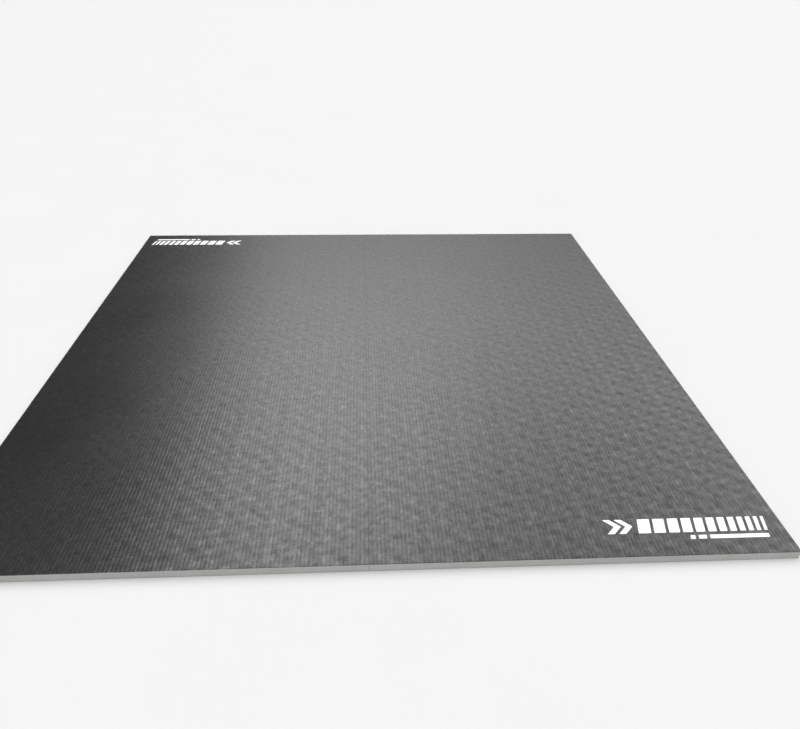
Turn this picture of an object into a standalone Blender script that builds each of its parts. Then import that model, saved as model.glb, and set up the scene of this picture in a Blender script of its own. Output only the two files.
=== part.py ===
"""A square two-panel folding exercise mat, lying open on the floor.

Units are metres and +Z is up. The origin is on the floor, below the middle of
the fold line. +X runs across the fold, towards the panel that lifts, and +Y
runs along the fold.

Each panel is a laminate. From the floor up it has a non-slip backing film,
three layers of closed-cell foam, a woven scrim and a ribbed vinyl cover sheet.
A kerf cuts the backing and the foam through at the fold. The cover and its
scrim bridge the kerf as a living hinge, so the mat closes like a book, with
its two top faces together.

The living hinge is a crease in a continuous sheet. As rigid pieces, the cover
and the scrim are each split at the crease, and the panels turn about a line
just above the cover.
"""

import bmesh
import bpy
from mathutils import Vector

INCH = 0.0254

# Driving dimensions of the open mat.
MAT_SIDE = 120 * INCH
MAT_THICKNESS = 1.25 * INCH

# The thin sheets of the laminate.
COVER_THICKNESS = 0.0012
SCRIM_THICKNESS = 0.0004
BACKING_THICKNESS = 0.0006

# The foam fills the rest of the thickness in equal layers.
FOAM_LAYER_NAMES = ("foam_bottom_layer", "foam_middle_layer", "foam_top_layer")

# Every glued joint is a gap, so that the solids don't touch.
BOND_GAP = 0.0003
BOND_COUNT = len(FOAM_LAYER_NAMES) + 2

# The fold.
KERF_WIDTH = 0.0010
CREASE_GAP = 0.0003
PIVOT_ABOVE_COVER = 0.0004

# Rounding: the panels' outer corners in plan, and the cover's top rim.
CORNER_RADIUS = 0.005
CORNER_SEGMENTS = 4
RIM_RADIUS = 0.0006
RIM_SEGMENTS = 2

FOAM_THICKNESS = (
    MAT_THICKNESS
    - COVER_THICKNESS
    - SCRIM_THICKNESS
    - BACKING_THICKNESS
    - BOND_COUNT * BOND_GAP
) / len(FOAM_LAYER_NAMES)
PIVOT_HEIGHT = MAT_THICKNESS + PIVOT_ABOVE_COVER

# A point counts as lying on a plane when it is this close to it.
ON_PLANE = 1e-6

# Materials: base colour (linear), roughness, metallic.
FINISHES = {
    "cover_vinyl": ((0.030, 0.031, 0.033), 0.42, 0.0),
    "cover_scrim": ((0.420, 0.415, 0.400), 0.95, 0.0),
    "foam": ((0.330, 0.330, 0.325), 0.90, 0.0),
    "nonslip_backing": ((0.190, 0.190, 0.188), 0.80, 0.0),
}


def clear_scene():
    """Remove every object that the start-up file brings."""
    for scene_object in list(bpy.data.objects):
        bpy.data.objects.remove(scene_object, do_unlink=True)


def make_material(name):
    """A plain Principled material from the table of finishes."""
    colour, roughness, metallic = FINISHES[name]
    material = bpy.data.materials.new(name)
    material.use_nodes = True
    shader = material.node_tree.nodes["Principled BSDF"]
    shader.inputs["Base Color"].default_value = (*colour, 1.0)
    shader.inputs["Roughness"].default_value = roughness
    shader.inputs["Metallic"].default_value = metallic
    material.diffuse_color = (*colour, 1.0)
    return material


def is_vertical(edge):
    """True for an edge that runs straight up."""
    span = edge.verts[0].co - edge.verts[1].co
    return abs(span.z) > abs(span.x) + abs(span.y)


def round_outer_corners(sheet, side):
    """Round the two corners of the sheet that are away from the fold."""
    edges = [e for e in sheet.edges if is_vertical(e) and e.verts[0].co.x * side > 0]
    bmesh.ops.bevel(
        sheet,
        geom=edges,
        offset=CORNER_RADIUS,
        segments=CORNER_SEGMENTS,
        profile=0.5,
        affect="EDGES",
    )


def round_top_rim(sheet, side):
    """Round the sheet's top edge on the three sides that are away from the fold."""
    top = max(v.co.z for v in sheet.verts)
    fold_side = min(v.co.x * side for v in sheet.verts)

    def on_rim(edge):
        at_top = all(abs(v.co.z - top) < ON_PLANE for v in edge.verts)
        at_fold = all(abs(v.co.x * side - fold_side) < ON_PLANE for v in edge.verts)
        return at_top and not at_fold

    bmesh.ops.bevel(
        sheet,
        geom=[e for e in sheet.edges if on_rim(e)],
        offset=RIM_RADIUS,
        segments=RIM_SEGMENTS,
        profile=0.5,
        affect="EDGES",
    )


def add_sheet(name, panel, side, fold_gap, bottom, thickness, material, rim=False):
    """Add one layer of a panel.

    side is -1 for the left panel and +1 for the right one. fold_gap is the gap
    that the layer shares with its twin across the fold. panel is the empty on
    the fold's axis that carries the layer.
    """
    width = (MAT_SIDE - fold_gap) / 2
    sheet = bmesh.new()
    bmesh.ops.create_cube(sheet, size=1.0)
    bmesh.ops.scale(sheet, vec=Vector((width, MAT_SIDE, thickness)), verts=sheet.verts)
    round_outer_corners(sheet, side)
    if rim:
        round_top_rim(sheet, side)
    mesh = bpy.data.meshes.new(name)
    sheet.to_mesh(mesh)
    sheet.free()
    mesh.materials.append(material)
    layer = bpy.data.objects.new(name, mesh)
    layer.parent = panel
    layer.location = (
        side * (fold_gap + width) / 2,
        0.0,
        bottom + thickness / 2 - PIVOT_HEIGHT,
    )
    panel.users_collection[0].objects.link(layer)


def add_panel(name, prefix, side, collection, materials):
    """Add a panel's layers from the floor up, carried by an empty on the axis."""
    panel = bpy.data.objects.new(name, None)
    panel.location = (0.0, 0.0, PIVOT_HEIGHT)
    collection.objects.link(panel)

    stack = [("nonslip_backing", KERF_WIDTH, BACKING_THICKNESS, "nonslip_backing")]
    stack += [(layer, KERF_WIDTH, FOAM_THICKNESS, "foam") for layer in FOAM_LAYER_NAMES]
    stack += [
        ("cover_scrim", CREASE_GAP, SCRIM_THICKNESS, "cover_scrim"),
        ("cover_sheet", CREASE_GAP, COVER_THICKNESS, "cover_vinyl"),
    ]

    bottom = 0.0
    for layer, fold_gap, thickness, finish in stack:
        add_sheet(
            f"{prefix}_{layer}",
            panel,
            side,
            fold_gap,
            bottom,
            thickness,
            materials[finish],
            rim=layer == "cover_sheet",
        )
        bottom += thickness + BOND_GAP


def build():
    """Model the open mat."""
    clear_scene()
    collection = bpy.data.collections.new("folding_gym_mat")
    bpy.context.scene.collection.children.link(collection)
    materials = {name: make_material(name) for name in FINISHES}
    add_panel("left_panel", "left", -1, collection, materials)
    add_panel("right_panel", "right", 1, collection, materials)


build()
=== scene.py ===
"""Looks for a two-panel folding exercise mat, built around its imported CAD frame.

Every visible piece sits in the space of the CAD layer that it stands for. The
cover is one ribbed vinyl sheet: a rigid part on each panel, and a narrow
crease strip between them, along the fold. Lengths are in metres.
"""

import math

import bmesh
import bpy
import numpy as np
from mathutils import Matrix, Vector


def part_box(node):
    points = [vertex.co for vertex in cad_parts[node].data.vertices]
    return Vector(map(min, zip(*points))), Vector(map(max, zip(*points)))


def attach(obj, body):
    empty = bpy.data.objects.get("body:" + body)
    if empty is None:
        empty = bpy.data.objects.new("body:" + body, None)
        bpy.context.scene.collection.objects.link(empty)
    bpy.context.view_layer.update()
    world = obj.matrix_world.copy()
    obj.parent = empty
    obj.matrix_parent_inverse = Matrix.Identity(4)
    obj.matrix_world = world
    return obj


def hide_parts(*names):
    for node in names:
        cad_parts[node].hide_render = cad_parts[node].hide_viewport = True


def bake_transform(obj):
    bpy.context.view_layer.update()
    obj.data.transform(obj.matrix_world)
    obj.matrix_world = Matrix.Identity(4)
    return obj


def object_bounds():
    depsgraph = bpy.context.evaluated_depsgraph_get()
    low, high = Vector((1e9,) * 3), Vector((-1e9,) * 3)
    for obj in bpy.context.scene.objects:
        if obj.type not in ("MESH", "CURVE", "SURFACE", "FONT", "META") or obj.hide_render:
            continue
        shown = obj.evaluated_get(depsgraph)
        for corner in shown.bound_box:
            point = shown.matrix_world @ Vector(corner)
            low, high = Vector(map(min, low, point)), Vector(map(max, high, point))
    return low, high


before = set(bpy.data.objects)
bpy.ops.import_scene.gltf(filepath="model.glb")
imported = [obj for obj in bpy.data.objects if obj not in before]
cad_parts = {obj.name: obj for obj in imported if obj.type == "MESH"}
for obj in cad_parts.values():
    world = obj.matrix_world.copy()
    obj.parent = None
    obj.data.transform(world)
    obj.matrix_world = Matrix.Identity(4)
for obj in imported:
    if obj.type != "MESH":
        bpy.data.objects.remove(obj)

cad_low, cad_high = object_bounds()

MM = 0.001

# The open mat, from the frame.
MAT_SIDE = cad_high.x - cad_low.x
HALF_SIDE = MAT_SIDE / 2
MAT_TOP = cad_high.z
SIDES = (("left", -1), ("right", 1))
FOAM_LAYERS = ("foam_bottom_layer", "foam_middle_layer", "foam_top_layer")
CORNER_RADIUS = 5 * MM

# The cover's embossing: straight ribs along the fold, 13 to a repeat.
RIBS_PER_PANEL = 104
RIB_PITCH = HALF_SIDE / RIBS_PER_PANEL
RIB_DEPTH = 0.14 * MM
RIB_SAMPLES = (0.0, 0.13, 0.5, 0.87)
ROW_SPACING = 14.2 * MM
COVER_SHARP_ANGLE = 50

# The woven pattern. It sinks in pressed blocks, which march across the ribs, and
# its gloss swells in a crown behind each block: a painted sheen, where a raised
# cushion would catch the light. Places across are in ribs, and places along the
# ribs are shares of the pattern's repeat.
RIBS_PER_REPEAT = 13
REPEAT_LENGTH = 92.25 * MM
BLOCKS_PER_REPEAT = 5
FIRST_BLOCK = (1.1, 0.53)
BLOCK_STEP = (2.95, -0.362)
BLOCK_HALF_WIDTH = 1.35
BLOCK_HALF_LENGTH = 20 * MM
BLOCK_DEPTH = 0.08 * MM
# The crowns: a painted sheen in the gloss, with no relief of their own.
SHEEN_CROWN_SHIFT = (1.65, 0.31)
SHEEN_CROWN_HALF_WIDTH = 1.6
SHEEN_CROWN_HALF_LENGTH = 20 * MM
SHEEN_CROWN_LEAN = 3.5 * MM
SWELLING_SPREAD = 0.2

# The woven look drifts along each rib over about this length.
DRIFT_LENGTH = 24 * MM

# The vinyl's gloss, as shares of the full one. Each noise is read over this range,
# and dims the gloss to its own share at the range's low end. A valley starts this
# far from a rib's crest, in ribs, and its shade depends on how the rib has drifted.
FULL_GLOSS = 0.9
LEAST_GLOSS = 0.05
NOISE_RANGE = (0.3, 0.7)
BLOTCH_GLOSS = 0.66
STRAW_GLOSS = 0.68
FIBRE_GLOSS = 0.85
DRIFT_GLOSS = 0.84
DRIFT_RANGE = (0.32, 0.68)
RIB_SEED_STEP = 7.3
VALLEY_FROM_CREST = (0.24, 0.5)
VALLEY_SHADE = (0.10, 0.56)

# The pattern shades itself least when it is seen along the ribs. Each contrast is
# a range of how far off that direction it is seen, and the contrast at each end.
MEAN_GLOSS = 0.56
ACROSS_RIBS_WEIGHT = 2.0
FINE_CONTRAST = (0.45, 0.95, 0.76, 1.08)
EMBOSS_CONTRAST = (0.50, 0.92, 0.03, 0.46)

# The vinyl's colours (dark, light), its dust, and the depth of its fine relief.
VINYL_COLOURS = ((0.0070, 0.0072, 0.0075), (0.0150, 0.0153, 0.0158))
DUST_COLOUR = (0.18, 0.18, 0.17)
DUST_SHARE = 0.05
STRAW_BUMP = 0.10 * MM
FIBRE_BUMP = 0.06 * MM
GRAIN_BUMP = 0.012 * MM

# The other materials' colours (dark, light).
FOAM_COLOURS = ((0.21, 0.21, 0.205), (0.44, 0.44, 0.43))
SCRIM_COLOURS = ((0.26, 0.255, 0.24), (0.55, 0.54, 0.52))
BACKING_COLOURS = ((0.105, 0.105, 0.104), (0.27, 0.27, 0.265))
INK_COLOURS = ((0.62, 0.62, 0.61), (0.90, 0.90, 0.89))
FLOOR_COLOURS = ((0.574, 0.574, 0.574), (0.589, 0.589, 0.589))

# The whole sheet undulates a little, as a laminate lying on a floor does.
WAVE_HEIGHT = 0.30 * MM
WAVE_LENGTHS = (0.83, 0.61, 0.47, 0.36)

# The cover's rim rolls down where the sheet is cut.
RIM_WIDTH = 3.0 * MM
RIM_DROP = 0.95 * MM
RIM_INSETS = (5.0 * MM, 3.0 * MM, 1.8 * MM, 0.8 * MM, 0.25 * MM, 0.0)
DEEPEST_SURFACE = 1.1 * MM

# The crease. Its fold line is shallow at the front edge and full at the back.
CREASE_HALF_WIDTH = RIB_SAMPLES[1] * RIB_PITCH
CREASE_CLEARANCE = 0.02 * MM
CREASE_COLUMNS = (0.08, 0.25, 0.45, 0.7, 1.0, 1.4)
CREASE_EXTRA_DEPTH = 0.14 * MM
CREASE_DEPTH_SHARE = (0.2, 1.0)
CREASE_GROOVE_HALF = 0.9 * MM
CREASE_NOTCH = 4.0 * MM
CREASE_SHARP_ANGLE = 60

# Cut edges of the flat layers. A level is a share of a layer's thickness, and how
# far in from the cut the layer lies there.
EDGE_STEP = 8 * MM
EDGE_WOBBLE = 0.16 * MM
EDGE_WAVELENGTHS = (0.9, 0.31, 0.12, 0.05)
EDGE_ROUND = 0.35 * MM
LAYER_SHARP_ANGLE = 55
FOAM_LEVELS = (
    (0.0, EDGE_ROUND),
    (0.05, 0.25 * EDGE_ROUND),
    (0.14, 0.0),
    (0.5, 0.0),
    (0.86, 0.0),
    (0.95, 0.25 * EDGE_ROUND),
    (1.0, EDGE_ROUND),
)
BACKING_LEVELS = ((0.0, 0.2 * MM), (0.3, 0.05 * MM), (0.7, 0.0), (1.0, 0.1 * MM))
SCRIM_INSET = 0.3 * MM
CORNER_POINTS = 7

# The backing's diamond emboss, and how far in its edges are worn.
DIAMOND_PITCH = 9 * MM
WORN_BAND = 22 * MM

# The scrim's threads repeat at this spacing.
THREAD_REPEAT = 1.6 * MM

# Printed marks, measured from the mat's near right corner: where each row of
# shapes ends on the right and how far it lies from the front edge. The second
# mark is the first one turned half round.
MARK_RIGHT = 53 * MM
MARK_BAND = (107 * MM, 176 * MM)
MARK_LINE = (74 * MM, 92 * MM)
MARK_BARS = np.linspace(46, 12, 12) * MM
MARK_GAP = 12 * MM
MARK_CHEVRONS = 2
CHEVRON_WIDTH = 26 * MM
CHEVRON_POINT = 0.5
CHEVRON_STEP = CHEVRON_WIDTH + 1.4 * MARK_GAP
LINE_DASHES = (18 * MM, 30 * MM, 220 * MM)
MARK_SLANT = 0.22
INK_CORNER = 3 * MM
INK_CORNER_SEGMENTS = 3
INK_RISE = 0.07 * MM
INK_ROOT = 0.15 * MM

# The studio glow. Each fade runs along one component of a ray's direction: from
# and to which value, and the share of the light at each. The left and the right
# edge lean: both lie further left the higher they are. The share to the right of
# the right edge is itself a fade, and smaller the higher it is.
GLOW_LEAN = 0.3
GLOW_LEFT = (-0.115, 0.0, 0.0, 1.0)
GLOW_RIGHT = (0.18, 0.44, 1.0)
GLOW_RIGHT_SHARE = (0.50, 0.66, 0.77, 0.46)
GLOW_END = (0.62, 0.78, 1.0, 0.08)
GLOW_DEPTH = (-0.25, 0.15, 0.08, 1.0)
GLOW_RISE = (0.22, 0.71, 0.02, 1.0)
GLOW_TOP = (0.62, 1.0, 1.0, 0.6)
GLOW_STRENGTH = 5.3

# The rest of the surround is dim straight ahead, and brighter to the sides and
# behind. This fade runs along how much more a ray points ahead than sideways.
SURROUND = (-0.15, 0.20, 0.65, 0.05)
BACKDROP_STRENGTH = 0.93

# The key light: its strength, its width, and how it is tipped about X and Y.
KEY_STRENGTH = 1.2
KEY_WIDTH = math.radians(60)
KEY_TIP = (math.radians(48), math.radians(-8), 0)

# The floor lies just under the mat.
FLOOR_SIDE = 120
FLOOR_DROP = 0.3 * MM

# The camera: a standing viewer's eye, turned a little to the right of +Y.
CAMERA_PLACE = (-0.001, -3.086, 1.822)
CAMERA_HEADING = math.radians(3.46)
CAMERA_PITCH = math.radians(32.22)
CAMERA_ROLL = math.radians(1.01)
CAMERA_LENS = 30.06
CAMERA_SENSOR = 36.0


# ---------------------------------------------------------------- mesh helpers


def mesh_object(name, vertices, faces):
    """A new object from vertices and faces, linked to the scene."""
    mesh = bpy.data.meshes.new(name)
    mesh.from_pydata([tuple(v) for v in vertices], [], [tuple(f) for f in faces])
    mesh.validate(verbose=False)
    mesh.update()
    piece = bpy.data.objects.new(name, mesh)
    bpy.context.scene.collection.objects.link(piece)
    return piece


def point_attribute(piece, name, values):
    """Store one number per vertex, for a material to read."""
    attribute = piece.data.attributes.new(name, "FLOAT", "POINT")
    attribute.data.foreach_set("value", np.asarray(values, dtype=np.float32))


def sharpen(piece, degrees):
    """Smooth the shading, except at edges sharper than this angle and on the caps.

    A cap is a flat face with more than four corners. The angles come first, as
    they clear what is set on the faces.
    """
    mesh = piece.data
    mesh.set_sharp_from_angle(angle=math.radians(degrees))
    corners = np.zeros(len(mesh.polygons), dtype=np.int32)
    mesh.polygons.foreach_get("loop_total", corners)
    mesh.polygons.foreach_set("use_smooth", corners == 4)


def grid_faces(rows, columns, flip):
    """Quads over a grid of vertices stored row by row."""
    corner = (np.arange(rows - 1)[:, None] * columns + np.arange(columns - 1)).ravel()
    quads = np.stack([corner, corner + 1, corner + columns + 1, corner + columns], 1)
    return quads[:, ::-1] if flip else quads


def grid_border(rows, columns):
    """The border vertices of a grid, once round in order."""
    front = np.arange(columns)
    right = np.arange(1, rows) * columns + columns - 1
    back = (rows - 1) * columns + np.arange(columns - 2, -1, -1)
    left = np.arange(rows - 2, 0, -1) * columns
    return np.concatenate([front, right, back, left])


def ring_faces(first, second, flip):
    """Quads between two closed rings with as many vertices as each other."""
    a, b = np.asarray(first), np.asarray(second)
    quads = np.stack([a, b, np.roll(b, -1), np.roll(a, -1)], 1)
    return quads[:, ::-1] if flip else quads


# ------------------------------------------------------------- the cover sheet


def smooth_bump(t):
    """1 at t = 0, falling smoothly to 0 at t = 1 and beyond."""
    t = np.clip(np.abs(t), 0, 1)
    return (1 - t * t) ** 2


def rib_profile(x):
    """0 in the valley between two ribs and 1 on a rib's crest."""
    return np.sqrt(np.abs(np.sin(np.pi * x / RIB_PITCH)))


def swelling(x, y, at_rib, place, half_width, half_length, lean):
    """One swelling of the woven pattern, repeated over the sheet, from 0 to 1.

    It is even across each rib, and its repeats differ a little in length and
    height. lean is how much further back it lies on each rib to the right.
    """
    rib = np.floor(x / RIB_PITCH)
    half = RIBS_PER_REPEAT / 2
    off = np.mod(rib + 0.5 - at_rib + half, RIBS_PER_REPEAT) - half
    behind = y - lean * off
    number = np.round(behind / REPEAT_LENGTH - place)
    along = behind - (number + place) * REPEAT_LENGTH
    vary = np.sin(number * 12.9 + np.floor(rib / RIBS_PER_REPEAT) * 7.3 + at_rib)
    length = half_length * (1 + SWELLING_SPREAD * vary)
    height = 1 - SWELLING_SPREAD + SWELLING_SPREAD * vary
    return height * smooth_bump(off / half_width) * smooth_bump(along / length)


def emboss(x, y):
    """The woven pattern: 1 in the middle of a pressed block, and -1 on a crown, which
    carries a painted sheen.
    """
    total = np.zeros_like(x)
    for number in range(BLOCKS_PER_REPEAT):
        rib = FIRST_BLOCK[0] + number * BLOCK_STEP[0]
        place = FIRST_BLOCK[1] + number * BLOCK_STEP[1]
        total += swelling(x, y, rib, place, BLOCK_HALF_WIDTH, BLOCK_HALF_LENGTH, 0.0)
        # A crown behind the block: a painted sheen in the gloss, with no relief.
        rib += SHEEN_CROWN_SHIFT[0]
        place += SHEEN_CROWN_SHIFT[1]
        total -= swelling(
            x, y, rib, place, SHEEN_CROWN_HALF_WIDTH, SHEEN_CROWN_HALF_LENGTH, SHEEN_CROWN_LEAN
        )
    return np.clip(total, -1, 1)


def undulation(x, y):
    """The laminate's long, shallow waves, from 0 down to -WAVE_HEIGHT."""
    total = np.zeros_like(x)
    for i, length in enumerate(WAVE_LENGTHS):
        heading = 0.6 + 1.9 * i
        along = x * math.cos(heading) + y * math.sin(heading)
        total += np.sin(2 * np.pi * along / length + 1.3 * i)
    return WAVE_HEIGHT * (total / len(WAVE_LENGTHS) - 1) / 2


def rim_roll(inset):
    """How far the sheet has rolled down at this distance in from its cut edge."""
    t = np.clip(1 - inset / RIM_WIDTH, 0, 1)
    return RIM_DROP * (1 - np.sqrt(np.clip(1 - t * t, 0, 1)))


def cover_surface(x, y, inset):
    """Height of the cover's top surface."""
    relief = RIB_DEPTH * (1 - rib_profile(x))
    relief += BLOCK_DEPTH * np.maximum(emboss(x, y), 0) * rib_profile(x)
    return np.maximum(
        MAT_TOP - relief + undulation(x, y) - rim_roll(inset),
        MAT_TOP - DEEPEST_SURFACE,
    )


def cover_columns():
    """Distances from the fold at which the cover has a line of vertices."""
    ribs = np.arange(RIBS_PER_PANEL)[:, None] + np.array(RIB_SAMPLES)
    lines = (ribs * RIB_PITCH).ravel()
    past_crease = lines > 1.5 * CREASE_HALF_WIDTH
    before_rim = lines < HALF_SIDE - 1.2 * RIM_INSETS[0]
    inner = lines[past_crease & before_rim]
    return np.concatenate([[CREASE_HALF_WIDTH], inner, HALF_SIDE - np.array(RIM_INSETS)])


def cover_rows():
    """Places along the fold at which the cover has a line of vertices."""
    reach = HALF_SIDE - RIM_INSETS[0]
    count = round(2 * reach / ROW_SPACING)
    rim = HALF_SIDE - np.array(RIM_INSETS)
    return np.concatenate([-rim[::-1], np.linspace(-reach, reach, count + 1)[1:-1], rim])


def round_corner(distance, along):
    """Bend the grid's square outer corners round to the corner radius."""
    centre = HALF_SIDE - CORNER_RADIUS
    a, b = distance - centre, np.abs(along) - centre
    corner = (a > 0) & (b > 0)
    length = np.where(corner, np.hypot(a, b), 1.0)
    shrink = np.where(corner, np.maximum(a, b) / length, 1.0)
    distance = np.where(corner, centre + a * shrink, distance)
    along = np.where(corner, np.sign(along) * (centre + b * shrink), along)
    return distance, along


def cover_grid(side):
    """Positions of the cover's top vertices on one panel, row by row."""
    distance, along = np.meshgrid(cover_columns(), cover_rows())
    inset = HALF_SIDE - np.maximum(distance, np.abs(along))
    distance, along = round_corner(distance, along)
    x = side * distance
    return x, along, cover_surface(x, along, inset)


def build_cover(prefix, side, material):
    """The vinyl sheet of one panel: ribbed top, cut sides and flat back."""
    x, y, z = cover_grid(side)
    rows, columns = x.shape
    back_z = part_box(f"{prefix}_cover_sheet")[0].z
    top = np.stack([x.ravel(), y.ravel(), z.ravel()], 1)
    border = grid_border(rows, columns)
    back = top[border].copy()
    back[:, 2] = back_z
    back_ring = len(top) + np.arange(len(border))
    flip = side < 0
    faces = list(grid_faces(rows, columns, flip))
    faces += list(ring_faces(border, back_ring, flip))
    faces.append(back_ring if flip else back_ring[::-1])
    piece = mesh_object(f"{prefix}_vinyl_cover", np.concatenate([top, back]), faces)
    sharpen(piece, COVER_SHARP_ANGLE)
    weight = np.concatenate([emboss(x, y).ravel(), np.zeros(len(border))])
    point_attribute(piece, "emboss", weight)
    piece.data.materials.append(material)
    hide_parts(f"{prefix}_cover_sheet")
    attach(piece, f"{prefix}_panel")


def crease_lines():
    """Places across the fold at which a crease strip has a line of vertices."""
    edge = CREASE_HALF_WIDTH - CREASE_CLEARANCE
    half = np.array([c * MM for c in CREASE_COLUMNS] + [edge])
    return np.concatenate([-half[::-1], half])


def build_crease(name, low, high_at, material):
    """A closed strip that bridges the fold, from low up to high_at(x, y)."""
    reach = HALF_SIDE - CREASE_NOTCH
    lines = cover_rows()
    lines = np.concatenate([[-reach], lines[np.abs(lines) < reach - MM], [reach]])
    x, y = np.meshgrid(crease_lines(), lines)
    rows, columns = x.shape
    top = np.stack([x, y, high_at(x, y)], 2).reshape(-1, 3)
    bottom = top.copy()
    bottom[:, 2] = low
    border = grid_border(rows, columns)
    count = len(top)
    faces = list(grid_faces(rows, columns, False))
    faces += list(grid_faces(rows, columns, True) + count)
    faces += list(ring_faces(border, border + count, False))
    piece = mesh_object(name, np.concatenate([top, bottom]), faces)
    sharpen(piece, CREASE_SHARP_ANGLE)
    point_attribute(piece, "emboss", np.zeros(2 * count))
    piece.data.materials.append(material)
    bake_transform(piece)


def crease_top(x, y):
    """The cover's surface in the crease: a valley with a sharper fold line in it."""
    share = np.interp(y, (-HALF_SIDE, HALF_SIDE), CREASE_DEPTH_SHARE)
    groove = CREASE_EXTRA_DEPTH * share * smooth_bump(x / CREASE_GROOVE_HALF)
    return cover_surface(x, y, RIM_WIDTH) - groove


def scrim_top(x, y):
    """The scrim's surface in the crease, which is flat."""
    return np.full_like(x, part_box("left_cover_scrim")[1].z)


# --------------------------------------------------------------- printed marks


def bar(left, right, low, high):
    """A slanted bar: it leans to the right towards the back."""
    lean = MARK_SLANT * (high - low)
    return [(left, low), (right, low), (right + lean, high), (left + lean, high)]


def chevron(left, width, low, high):
    """An arrowhead that points right."""
    middle = (low + high) / 2
    tip = CHEVRON_POINT * (high - low)
    right = left + width
    return [
        (left, low),
        (right, low),
        (right + tip, middle),
        (right, high),
        (left, high),
        (left + tip, middle),
    ]


def mark_outlines():
    """The mark's shapes as (x, y) outlines, for the near right corner."""
    low, high = (MARK_BAND[0] - HALF_SIDE, MARK_BAND[1] - HALF_SIDE)
    x = HALF_SIDE - MARK_RIGHT - MARK_SLANT * (high - low)
    shapes = []
    for width in MARK_BARS[::-1]:
        shapes.append(bar(x - width, x, low, high))
        x -= width + MARK_GAP
    x -= CHEVRON_POINT * (high - low)
    for _ in range(MARK_CHEVRONS):
        shapes.append(chevron(x - CHEVRON_WIDTH, CHEVRON_WIDTH, low, high))
        x -= CHEVRON_STEP
    low, high = (MARK_LINE[0] - HALF_SIDE, MARK_LINE[1] - HALF_SIDE)
    x = HALF_SIDE - MARK_RIGHT - 2 * MARK_GAP
    for width in reversed(LINE_DASHES):
        shapes.append(bar(x - width, x, low, high))
        x -= width + MARK_GAP
    return shapes


def surface_sampler(side):
    """A function that gives the height of one panel's cover mesh at x and y."""
    columns, lines = cover_columns(), cover_rows()
    heights = cover_grid(side)[2]

    def height(x, y):
        distance = side * x
        i = int(np.clip(np.searchsorted(columns, distance) - 1, 0, len(columns) - 2))
        j = int(np.clip(np.searchsorted(lines, y) - 1, 0, len(lines) - 2))
        u = (distance - columns[i]) / (columns[i + 1] - columns[i])
        v = (y - lines[j]) / (lines[j + 1] - lines[j])
        near = heights[j, i] * (1 - u) + heights[j, i + 1] * u
        far = heights[j + 1, i] * (1 - u) + heights[j + 1, i + 1] * u
        return near * (1 - v) + far * v

    return height


def cut_at(mesh, places, axis):
    """Cut every face of the mesh along straight lines across one axis."""
    normal = Vector((0, 0, 0))
    normal[axis] = 1.0
    reach = [v.co[axis] for v in mesh.verts]
    for place in places:
        if min(reach) < place < max(reach):
            point = normal * place
            geometry = mesh.verts[:] + mesh.edges[:] + mesh.faces[:]
            bmesh.ops.bisect_plane(mesh, geom=geometry, plane_co=point, plane_no=normal)


def settled(mesh):
    """A mesh's vertices and faces, in an order that is the same on each run."""
    mesh.verts.index_update()
    places = [tuple(round(value, 7) for value in vertex.co) for vertex in mesh.verts]
    order = sorted(range(len(places)), key=places.__getitem__)
    rank = {old: new for new, old in enumerate(order)}
    faces = []
    for face in mesh.faces:
        corners = [rank[vertex.index] for vertex in face.verts]
        first = corners.index(min(corners))
        faces.append(tuple(corners[first:] + corners[:first]))
    return [places[old] for old in order], sorted(faces)


def build_mark(name, prefix, side, material):
    """A film of ink that follows the ribs. side is also the mark's turn."""
    ink = bmesh.new()
    for outline in mark_outlines():
        ink.faces.new([ink.verts.new((side * x, side * y, 0)) for x, y in outline])
    bmesh.ops.bevel(
        ink,
        geom=ink.verts[:],
        offset=INK_CORNER,
        segments=INK_CORNER_SEGMENTS,
        profile=0.5,
        affect="VERTICES",
    )
    cut_at(ink, side * cover_columns(), 0)
    cut_at(ink, cover_rows(), 1)
    height = surface_sampler(side)
    for vertex in ink.verts:
        vertex.co.z = height(vertex.co.x, vertex.co.y) - INK_ROOT
    raised = bmesh.ops.extrude_face_region(ink, geom=ink.faces[:])["geom"]
    for item in raised:
        if isinstance(item, bmesh.types.BMVert):
            item.co.z += INK_ROOT + INK_RISE
    bmesh.ops.recalc_face_normals(ink, faces=ink.faces[:])
    piece = mesh_object(name, *settled(ink))
    ink.free()
    piece.data.set_sharp_from_angle(angle=math.radians(COVER_SHARP_ANGLE))
    piece.data.materials.append(material)
    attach(piece, f"{prefix}_panel")


# -------------------------------------------------------- foam, scrim, backing


def panel_outline(side, inner, outer, reach, radius):
    """The outline of a layer as points and outward directions, once round.

    The two corners away from the fold are arcs. A square corner's direction is
    the sum of its sides' directions, so that an inset keeps the sides parallel.
    """

    def run(start, end, direction):
        count = max(1, round(np.hypot(*np.subtract(end, start)) / EDGE_STEP))
        t = np.linspace(0, 1, count + 1)[1:-1, None]
        points = np.array(start) * (1 - t) + np.array(end) * t
        return points, np.repeat([direction], len(points), 0)

    def arc(centre, begin):
        turn = np.radians(np.linspace(begin, begin + 90, CORNER_POINTS))[:, None]
        ray = np.hstack([np.cos(turn), np.sin(turn)])
        return np.array(centre) + radius * ray, ray

    turn_x, turn_y = outer - radius, reach - radius
    stretches = [
        (np.array([[inner, -reach]]), np.array([[-1.0, -1.0]])),
        run((inner, -reach), (turn_x, -reach), (0.0, -1.0)),
        arc((turn_x, -turn_y), -90),
        run((outer, -turn_y), (outer, turn_y), (1.0, 0.0)),
        arc((turn_x, turn_y), 0),
        run((turn_x, reach), (inner, reach), (0.0, 1.0)),
        (np.array([[inner, reach]]), np.array([[-1.0, 1.0]])),
        run((inner, reach), (inner, -reach), (-1.0, 0.0)),
    ]
    points = np.concatenate([s[0] for s in stretches])
    directions = np.concatenate([s[1] for s in stretches])
    if side < 0:
        points = points[::-1] * (-1, 1)
        directions = directions[::-1] * (-1, 1)
    return points, directions


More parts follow.
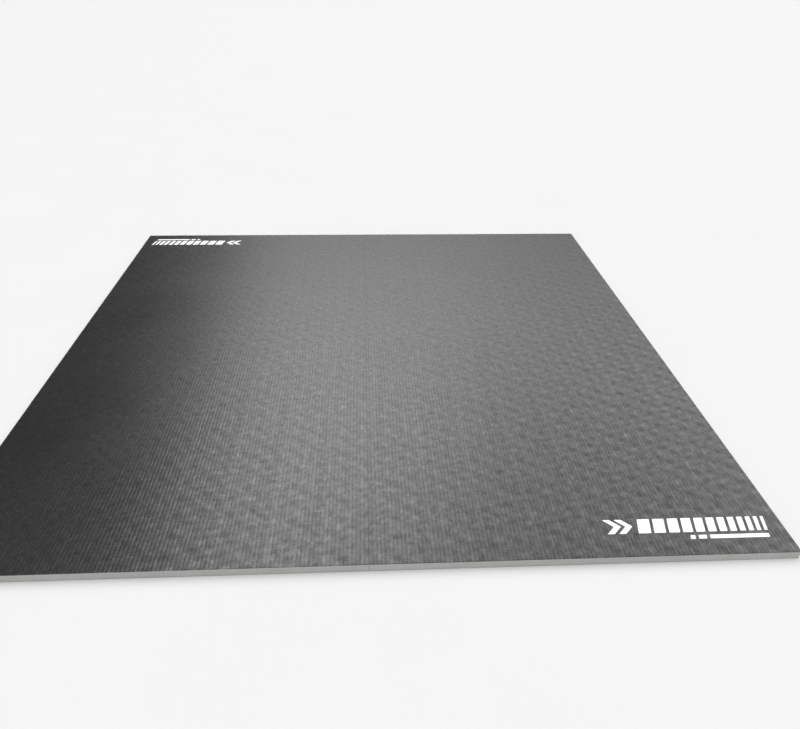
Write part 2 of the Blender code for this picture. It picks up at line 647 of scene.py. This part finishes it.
def knife_wobble(points, seed):
    """How far a knife cut wanders inward along an outline, from 0 to 1."""
    random = np.random.default_rng(seed)
    step = np.hypot(*(np.roll(points, -1, 0) - points).T)
    place = np.concatenate([[0], np.cumsum(step)[:-1]])
    length = step.sum()
    total = np.zeros(len(points))
    for wavelength in EDGE_WAVELENGTHS:
        turns = round(length / wavelength)
        start = random.uniform(0, 2 * np.pi)
        total += np.sin(2 * np.pi * turns * place / length + start)
    return 0.5 + total / (2 * len(EDGE_WAVELENGTHS))


def build_layer(name, node, side, levels, seed):
    """A layer of a panel from its CAD box: a slab with slightly uneven cut sides."""
    low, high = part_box(node)
    inner = min(abs(low.x), abs(high.x))
    outer = max(abs(low.x), abs(high.x))
    points, directions = panel_outline(side, inner, outer, high.y, CORNER_RADIUS)
    rings, vertices = [], []
    for number, (share, inset) in enumerate(levels):
        wander = EDGE_WOBBLE * knife_wobble(points, seed + 10 * number)
        shift = (inset + wander)[:, None] * directions
        z = low.z + share * (high.z - low.z)
        rings.append(len(vertices) * len(points) + np.arange(len(points)))
        vertices.append(np.hstack([points - shift, np.full((len(points), 1), z)]))
    faces = [rings[0][::-1]]
    for below, above in zip(rings[:-1], rings[1:]):
        faces += list(ring_faces(below, above, True))
    faces.append(rings[-1])
    piece = mesh_object(name, np.concatenate(vertices), faces)
    sharpen(piece, LAYER_SHARP_ANGLE)
    return piece


def build_foam(prefix, side, material):
    """The three bonded foam layers, each cut a hair differently."""
    for number, layer in enumerate(FOAM_LAYERS):
        node = f"{prefix}_{layer}"
        seed = 100 * number + (7 if side > 0 else 3)
        piece = build_layer(f"{node}_core", node, side, FOAM_LEVELS, seed)
        piece.data.materials.append(material)
        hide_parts(node)
        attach(piece, f"{prefix}_panel")


def build_backing(prefix, side, material):
    """The non-slip film under a panel."""
    node = f"{prefix}_nonslip_backing"
    piece = build_layer(f"{node}_film", node, side, BACKING_LEVELS, 40 + side)
    piece.data.materials.append(material)
    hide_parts(node)
    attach(piece, f"{prefix}_panel")


def build_scrim(prefix, side, material):
    """The woven reinforcement under the vinyl, up to the crease strip."""
    node = f"{prefix}_cover_scrim"
    low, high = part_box(node)
    inner = CREASE_HALF_WIDTH
    outer = max(abs(low.x), abs(high.x))
    points, directions = panel_outline(side, inner, outer, high.y, CORNER_RADIUS)
    points = points - SCRIM_INSET * directions
    points[:, 0] = side * np.maximum(side * points[:, 0], inner)
    bottom = np.arange(len(points))
    top = bottom + len(points)
    vertices = [np.hstack([points, np.full((len(points), 1), z)]) for z in (low.z, high.z)]
    faces = [bottom[::-1], top] + list(ring_faces(bottom, top, True))
    piece = mesh_object(f"{node}_weave", np.concatenate(vertices), faces)
    sharpen(piece, LAYER_SHARP_ANGLE)
    piece.data.materials.append(material)
    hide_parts(node)
    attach(piece, f"{prefix}_panel")


# ------------------------------------------------------------------- materials


class Nodes:
    """Short names for building one material's node tree."""

    def __init__(self, name):
        self.material = bpy.data.materials.new(name)
        self.material.use_nodes = True
        self.tree = self.material.node_tree
        self.shader = self.tree.nodes["Principled BSDF"]

    def add(self, kind, inputs=None, **settings):
        """Add a node. inputs holds values or output sockets, by input name or index."""
        node = self.tree.nodes.new(kind)
        for key, value in settings.items():
            setattr(node, key, value)
        for key, value in (inputs or {}).items():
            self.put(node.inputs[key], value)
        return node

    def put(self, socket, value):
        """Set an input to a value, or link an output to it."""
        if isinstance(value, bpy.types.NodeSocket):
            self.tree.links.new(value, socket)
        else:
            socket.default_value = value

    def math(self, operation, first, second=0.0, third=0.0):
        """One arithmetic node's result."""
        node = self.add("ShaderNodeMath", operation=operation)
        for socket, value in zip(node.inputs, (first, second, third)):
            self.put(socket, value)
        return node.outputs[0]

    def position(self, scale=(1.0, 1.0, 1.0)):
        """The surface point in the piece's own frame, stretched by scale."""
        coordinate = self.add("ShaderNodeTexCoord").outputs["Object"]
        mapping = self.add("ShaderNodeMapping", {"Vector": coordinate, "Scale": scale})
        return mapping.outputs[0]

    def noise(self, scale, detail=2.0, roughness=0.5, stretch=(1.0, 1.0, 1.0)):
        """Cloudy noise from 0 to 1. scale counts features in a metre."""
        inputs = {
            "Vector": self.position(stretch),
            "Scale": scale,
            "Detail": detail,
            "Roughness": roughness,
        }
        return self.add("ShaderNodeTexNoise", inputs).outputs["Fac"]

    def remap(self, value, low, high, out_low, out_high):
        """Map a range on to another, clamped."""
        inputs = {0: value, 1: low, 2: high, 3: out_low, 4: out_high}
        return self.add("ShaderNodeMapRange", inputs).outputs[0]

    def mix(self, value, first, second):
        """A blend from the first colour to the second, by a value from 0 to 1."""
        inputs = {0: value, 6: first, 7: (*second, 1.0)}
        return self.add("ShaderNodeMix", inputs, data_type="RGBA").outputs[2]

    def ramp(self, value, dark, light):
        """A colour between a dark and a light one, by a value from 0 to 1."""
        return self.mix(value, (*dark, 1.0), light)

    def off_ribs(self):
        """How far off the ribs' direction the surface is seen, from 0 upward.

        Looking across the ribs counts for more than looking down on them.
        """
        incoming = self.add("ShaderNodeNewGeometry").outputs["Incoming"]
        local = self.add(
            "ShaderNodeVectorTransform",
            {"Vector": incoming},
            vector_type="VECTOR",
            convert_from="WORLD",
            convert_to="OBJECT",
        ).outputs[0]
        weight = (ACROSS_RIBS_WEIGHT, 0.0, 1.0)
        product = {0: local, 1: weight}
        weighed = self.add("ShaderNodeVectorMath", product, operation="MULTIPLY").outputs[0]
        length = self.add("ShaderNodeVectorMath", {0: weighed}, operation="LENGTH")
        return length.outputs["Value"]

    def attribute(self, name):
        """A number stored on the mesh's vertices."""
        return self.add("ShaderNodeAttribute", attribute_name=name).outputs["Fac"]

    def bump(self, height, distance, strength=1.0, under=None):
        """A normal from a height from 0 to 1, distance deep."""
        inputs = {"Height": height, "Distance": distance, "Strength": strength}
        if under is not None:
            inputs["Normal"] = under
        return self.add("ShaderNodeBump", inputs).outputs[0]

    def finish(self, colour, roughness, normal, specular=0.5):
        """Plug the results into the shader."""
        self.put(self.shader.inputs["Base Color"], colour)
        self.put(self.shader.inputs["Roughness"], roughness)
        self.put(self.shader.inputs["Normal"], normal)
        self.put(self.shader.inputs["Specular IOR Level"], specular)
        return self.material


def rib_shade(n):
    """How dark the valley between two ribs is, and how far its rib has drifted.

    The drift runs from 0 to 1. It wanders along each rib on its own.
    """
    place = n.add("ShaderNodeSeparateXYZ", {0: n.position()})
    across = n.math("DIVIDE", place.outputs["X"], RIB_PITCH)
    rib = n.math("FLOOR", across)
    off_crest = n.math("ABSOLUTE", n.math("SUBTRACT", n.math("FRACT", across), 0.5))
    valley = n.remap(off_crest, *VALLEY_FROM_CREST, 0.0, 1.0)
    ahead = n.math("DIVIDE", place.outputs["Y"], DRIFT_LENGTH)
    seed = {0: n.math("MULTIPLY", rib, RIB_SEED_STEP), 1: ahead}
    vector = n.add("ShaderNodeCombineXYZ", seed).outputs[0]
    noise = {"Vector": vector, "Scale": 1.0, "Detail": 1.0}
    drift = n.add("ShaderNodeTexNoise", noise).outputs["Fac"]
    drift = n.remap(drift, *DRIFT_RANGE, 0.0, 1.0)
    shade = n.math("MULTIPLY", valley, n.remap(drift, 0.0, 1.0, *VALLEY_SHADE))
    return shade, drift


def woven_gloss(n, straw, fibre, weave):
    """The share of light that the woven vinyl reflects from place to place."""
    shade, drift = rib_shade(n)
    blotch = n.noise(38.0, 2.0, stretch=(2.0, 1.1, 1.0))
    gloss = n.remap(blotch, *NOISE_RANGE, BLOTCH_GLOSS, 1.0)
    gloss = n.math("MULTIPLY", gloss, n.remap(straw, *NOISE_RANGE, STRAW_GLOSS, 1.0))
    gloss = n.math("MULTIPLY", gloss, n.remap(fibre, *NOISE_RANGE, FIBRE_GLOSS, 1.0))
    gloss = n.math("MULTIPLY", gloss, n.remap(drift, 0.0, 1.0, 1.0, DRIFT_GLOSS))
    gloss = n.math("MULTIPLY", gloss, n.math("SUBTRACT", 1.0, shade))

    off_ribs = n.off_ribs()
    contrast = n.remap(off_ribs, *FINE_CONTRAST)
    off_mean = n.math("SUBTRACT", gloss, MEAN_GLOSS)
    gloss = n.math("MULTIPLY_ADD", off_mean, contrast, MEAN_GLOSS)
    # Painted shade dims the pressed blocks, and a painted sheen brightens the crowns.
    emboss_shade_and_sheen = n.math("MULTIPLY", weave, n.remap(off_ribs, *EMBOSS_CONTRAST))
    return n.math("MULTIPLY", gloss, n.math("SUBTRACT", 1.0, emboss_shade_and_sheen))


def vinyl_material():
    """Charcoal vinyl embossed as woven straw, with fine straws across the ribs.

    Its gloss varies from rib to rib and from straw to straw. The valleys and the
    pressed blocks shine least, as they shade themselves, and the crowns behind the
    blocks carry a painted sheen.
    """
    n = Nodes("charcoal_vinyl")
    straw = n.noise(62.0, 2.0, 0.6, stretch=(1.0, 3.0, 1.0))
    fibre = n.noise(90.0, 2.0, 0.6, stretch=(1.0, 9.0, 1.0))
    weave = n.attribute("emboss")
    grain = n.noise(1400.0, 3.0)
    cloud = n.noise(2.2, 4.0)
    speck = n.remap(n.noise(420.0, 1.0), 0.68, 0.80, 0.0, 1.0)

    normal = n.bump(straw, STRAW_BUMP)
    normal = n.bump(fibre, FIBRE_BUMP, under=normal)
    normal = n.bump(grain, GRAIN_BUMP, under=normal)

    tone = n.math("MULTIPLY_ADD", cloud, 0.6, n.math("MULTIPLY", grain, 0.4))
    colour = n.ramp(tone, *VINYL_COLOURS)
    dusty = n.mix(n.math("MULTIPLY", speck, DUST_SHARE), colour, DUST_COLOUR)

    rough = n.math("MULTIPLY_ADD", cloud, 0.06, 0.24)
    rough = n.math("MULTIPLY_ADD", weave, 0.04, rough)
    gloss = woven_gloss(n, straw, fibre, weave)
    specular = n.math("MULTIPLY", n.math("MAXIMUM", gloss, LEAST_GLOSS), FULL_GLOSS)
    return n.finish(dusty, rough, normal, specular)


def foam_material():
    """Light grey closed-cell foam, knife cut: small open cells and drag lines."""
    n = Nodes("cut_foam")
    cells = n.add(
        "ShaderNodeTexVoronoi",
        {"Vector": n.position(), "Scale": 900.0},
    ).outputs["Distance"]
    drag = n.noise(120.0, 3.0, stretch=(1.0, 1.0, 12.0))
    cloud = n.noise(9.0, 3.0)
    normal = n.bump(cells, 0.25 * MM)
    normal = n.bump(drag, 0.20 * MM, under=normal)
    tone = n.math("MULTIPLY_ADD", cells, 0.45, n.math("MULTIPLY", drag, 0.35))
    tone = n.math("MULTIPLY_ADD", cloud, 0.3, tone)
    colour = n.ramp(tone, *FOAM_COLOURS)
    rough = n.math("MULTIPLY_ADD", cells, 0.1, 0.84)
    return n.finish(colour, rough, normal, 0.3)


def scrim_material():
    """Off-white polyester scrim in a plain weave."""
    n = Nodes("woven_scrim")
    threads = n.add("ShaderNodeSeparateXYZ", {0: n.position()})
    pitch = 2 * math.pi / THREAD_REPEAT
    warp = n.math("SINE", n.math("MULTIPLY", threads.outputs["X"], pitch))
    weft = n.math("SINE", n.math("MULTIPLY", threads.outputs["Y"], pitch))
    weave = n.math("MULTIPLY_ADD", n.math("MULTIPLY", warp, weft), 0.5, 0.5)
    slub = n.noise(240.0, 2.0)
    normal = n.bump(weave, 0.15 * MM)
    tone = n.math("MULTIPLY_ADD", slub, 0.5, n.math("MULTIPLY", weave, 0.5))
    colour = n.ramp(tone, *SCRIM_COLOURS)
    rough = n.math("MULTIPLY_ADD", slub, 0.1, 0.85)
    return n.finish(colour, rough, normal, 0.2)


def backing_material():
    """Mid grey non-slip film: diamond emboss, pebble grain, scuffs and worn edges."""
    n = Nodes("nonslip_film")
    place = n.add("ShaderNodeSeparateXYZ", {0: n.position()})
    x, y = place.outputs["X"], place.outputs["Y"]
    ridges = []
    for slant in ("ADD", "SUBTRACT"):
        turn = n.math("MULTIPLY", n.math(slant, x, y), math.pi / DIAMOND_PITCH)
        ridges.append(n.math("ABSOLUTE", n.math("SINE", turn)))
    diamond = n.math("POWER", n.math("MINIMUM", *ridges), 0.4)
    pebble = n.add(
        "ShaderNodeTexVoronoi",
        {"Vector": n.position(), "Scale": 420.0},
        feature="SMOOTH_F1",
    ).outputs["Distance"]
    cloud = n.noise(3.0, 5.0)
    patch = n.noise(16.0, 4.0, 0.6)
    scuff = n.remap(n.noise(14.0, 6.0, 0.65, (1.0, 0.25, 1.0)), 0.54, 0.72, 0.0, 1.0)
    scratch = n.remap(n.noise(26.0, 3.0, 0.7, (6.0, 0.35, 1.0)), 0.66, 0.74, 0.0, 1.0)
    reach = n.math("MAXIMUM", n.math("ABSOLUTE", x), n.math("ABSOLUTE", y))
    rim = n.remap(reach, HALF_SIDE - WORN_BAND, HALF_SIDE, 0.0, 1.0)
    worn = n.math("MULTIPLY", rim, n.remap(n.noise(22.0, 4.0), 0.35, 0.65, 0.2, 1.0))

    normal = n.bump(diamond, 0.25 * MM)
    normal = n.bump(pebble, 0.20 * MM, under=normal)
    tone = n.math("MULTIPLY_ADD", cloud, 0.55, n.math("MULTIPLY", pebble, 0.2))
    tone = n.math("MULTIPLY_ADD", n.math("SUBTRACT", patch, 0.5), 0.35, tone)
    tone = n.math("MULTIPLY_ADD", diamond, 0.15, tone)
    tone = n.math("MULTIPLY_ADD", scuff, 0.22, tone)
    tone = n.math("MULTIPLY_ADD", scratch, 0.20, tone)
    tone = n.math("MULTIPLY_ADD", worn, 0.30, tone)
    colour = n.ramp(tone, *BACKING_COLOURS)
    rough = n.math("MULTIPLY_ADD", scuff, 0.14, 0.62)
    return n.finish(colour, rough, normal, 0.4)


def ink_material():
    """White screen-printed ink, a little thin over the grain."""
    n = Nodes("white_ink")
    grain = n.noise(900.0, 3.0)
    cloud = n.noise(30.0, 3.0)
    tone = n.math("MULTIPLY_ADD", grain, 0.5, n.math("MULTIPLY", cloud, 0.5))
    colour = n.ramp(tone, *INK_COLOURS)
    rough = n.math("MULTIPLY_ADD", grain, 0.15, 0.40)
    normal = n.bump(grain, 0.03 * MM)
    return n.finish(colour, rough, normal, 0.4)


def floor_material():
    """A plain pale floor."""
    n = Nodes("pale_floor")
    colour = n.ramp(n.noise(1.5, 3.0), *FLOOR_COLOURS)
    normal = n.bump(n.noise(300.0, 2.0), 0.02 * MM)
    return n.finish(colour, 0.85, normal, 0.1)


# --------------------------------------------------------------------- staging


def add_floor():
    """A pale floor, out past anything the camera sees."""
    bpy.ops.mesh.primitive_plane_add(size=FLOOR_SIDE, location=(0, 0, -FLOOR_DROP))
    floor = bpy.context.object
    floor.name = "floor"
    floor.data.materials.append(floor_material())


def add_world():
    """A pale backdrop for the camera, and a studio surround for everything else.

    A tall, wide glow stands beyond the mat. It is brightest straight ahead and
    high up, weaker to the right, and ends on the left.
    """
    world = bpy.data.worlds.new("studio")
    world.use_nodes = True
    tree = world.node_tree

    def add(kind, inputs, **settings):
        node = tree.nodes.new(kind)
        for key, value in settings.items():
            setattr(node, key, value)
        for key, value in inputs.items():
            if isinstance(value, bpy.types.NodeSocket):
                tree.links.new(value, node.inputs[key])
            else:
                node.inputs[key].default_value = value
        return node.outputs[0]

    def fade(component, start, end, first, last):
        limits = {0: component, 1: start, 2: end, 3: first, 4: last}
        return add("ShaderNodeMapRange", limits, interpolation_type="SMOOTHSTEP")

    ray = tree.nodes.new("ShaderNodeTexCoord").outputs["Generated"]
    split = tree.nodes.new("ShaderNodeSeparateXYZ")
    tree.links.new(ray, split.inputs[0])
    x, y, z = split.outputs
    across = add("ShaderNodeMath", {0: z, 1: GLOW_LEAN, 2: x}, operation="MULTIPLY_ADD")
    glow = fade(across, *GLOW_LEFT)
    right_share = fade(z, *GLOW_RIGHT_SHARE)
    for component, limits in (
        (across, (*GLOW_RIGHT, right_share)),
        (x, GLOW_END),
        (y, GLOW_DEPTH),
        (z, GLOW_RISE),
        (z, GLOW_TOP),
    ):
        share = fade(component, *limits)
        glow = add("ShaderNodeMath", {0: glow, 1: share}, operation="MULTIPLY")
    sideways = add("ShaderNodeMath", {0: x}, operation="ABSOLUTE")
    ahead = add("ShaderNodeMath", {0: y, 1: sideways}, operation="SUBTRACT")
    total = {0: glow, 1: GLOW_STRENGTH, 2: fade(ahead, *SURROUND)}
    light = add("ShaderNodeMath", total, operation="MULTIPLY_ADD")
    camera_ray = tree.nodes.new("ShaderNodeLightPath").outputs["Is Camera Ray"]
    strength = add("ShaderNodeMix", {0: camera_ray, 2: light, 3: BACKDROP_STRENGTH})
    background = tree.nodes["Background"]
    tree.links.new(strength, background.inputs["Strength"])
    background.inputs["Color"].default_value = (1.0, 1.0, 1.0, 1.0)
    bpy.context.scene.world = world


def add_key_light():
    """A very soft key light from high up behind the camera."""
    data = bpy.data.lights.new("key_light", "SUN")
    data.angle = KEY_WIDTH
    data.energy = KEY_STRENGTH
    lamp = bpy.data.objects.new("key_light", data)
    lamp.rotation_euler = KEY_TIP
    bpy.context.scene.collection.objects.link(lamp)


def add_camera():
    """A standing viewer's eye, near the front edge and looking down at the mat."""
    data = bpy.data.cameras.new("camera")
    data.sensor_width = CAMERA_SENSOR
    data.lens = CAMERA_LENS
    camera = bpy.data.objects.new("camera", data)
    turn = Matrix.Rotation(-CAMERA_HEADING, 4, "Z")
    tilt = Matrix.Rotation(math.pi / 2 - CAMERA_PITCH, 4, "X")
    bank = Matrix.Rotation(CAMERA_ROLL, 4, "Z")
    camera.matrix_world = Matrix.Translation(CAMERA_PLACE) @ turn @ tilt @ bank
    bpy.context.scene.collection.objects.link(camera)
    bpy.context.scene.camera = camera


# ----------------------------------------------------------------------- build

vinyl = vinyl_material()
foam = foam_material()
scrim = scrim_material()
backing = backing_material()
ink = ink_material()

for prefix, side in SIDES:
    build_backing(prefix, side, backing)
    build_foam(prefix, side, foam)
    build_scrim(prefix, side, scrim)
    build_cover(prefix, side, vinyl)

build_mark("printed_mark_front_right", "right", 1, ink)
build_mark("printed_mark_back_left", "left", -1, ink)

cover_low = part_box("left_cover_sheet")[0]
scrim_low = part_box("left_cover_scrim")[0]
build_crease("crease_vinyl", cover_low.z, crease_top, vinyl)
build_crease("crease_scrim", scrim_low.z, scrim_top, scrim)

add_floor()
add_key_light()
add_world()
add_camera()
bpy.context.scene.view_settings.view_transform = "Standard"
